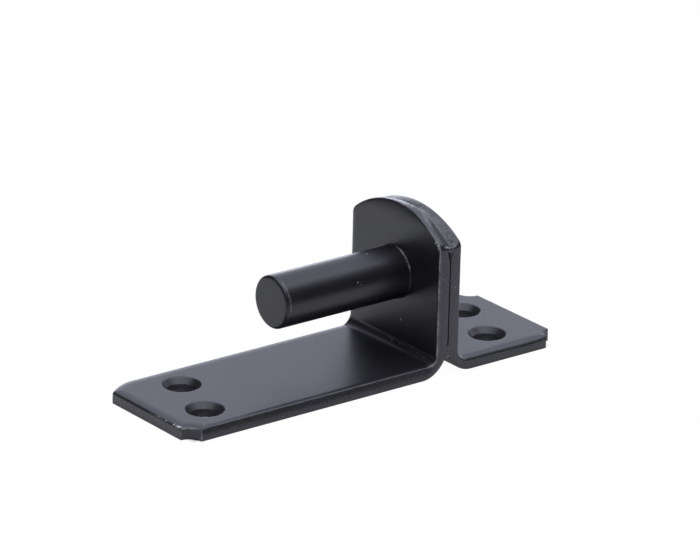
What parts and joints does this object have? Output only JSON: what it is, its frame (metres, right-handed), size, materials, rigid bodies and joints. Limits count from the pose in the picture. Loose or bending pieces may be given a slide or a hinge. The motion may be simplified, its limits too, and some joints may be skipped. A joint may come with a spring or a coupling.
{
  "type": "hinge pin on plate",
  "caption": "Black steel hinge pin standing out of a doubled arched upright on a long and a short screw leg, made to carry the eye of a strap hinge on a gate or door.",
  "frame": {"origin": "middle of the footprint, on the mounting plane under the two legs", "axes": "+Z away from the mounting plane, X along the legs with the pin pointing towards -X over the long leg, Y across the legs"},
  "size_m": [0.1358, 0.042, 0.0484],
  "materials": {
    "plate_coat": "satin black powder coat on bent steel plate",
    "pin_coat": "satin black powder coat on a turned steel pin",
    "weld_coat": "satin black powder coat over weld metal"
  },
  "bodies": {
    "root": {"long_plate": "plate_coat", "short_plate": "plate_coat", "hinge_pin": "pin_coat", "right_arch_weld": "weld_coat", "left_arch_weld": "weld_coat", "foot_weld": "weld_coat"}
  },
  "joints": []
}
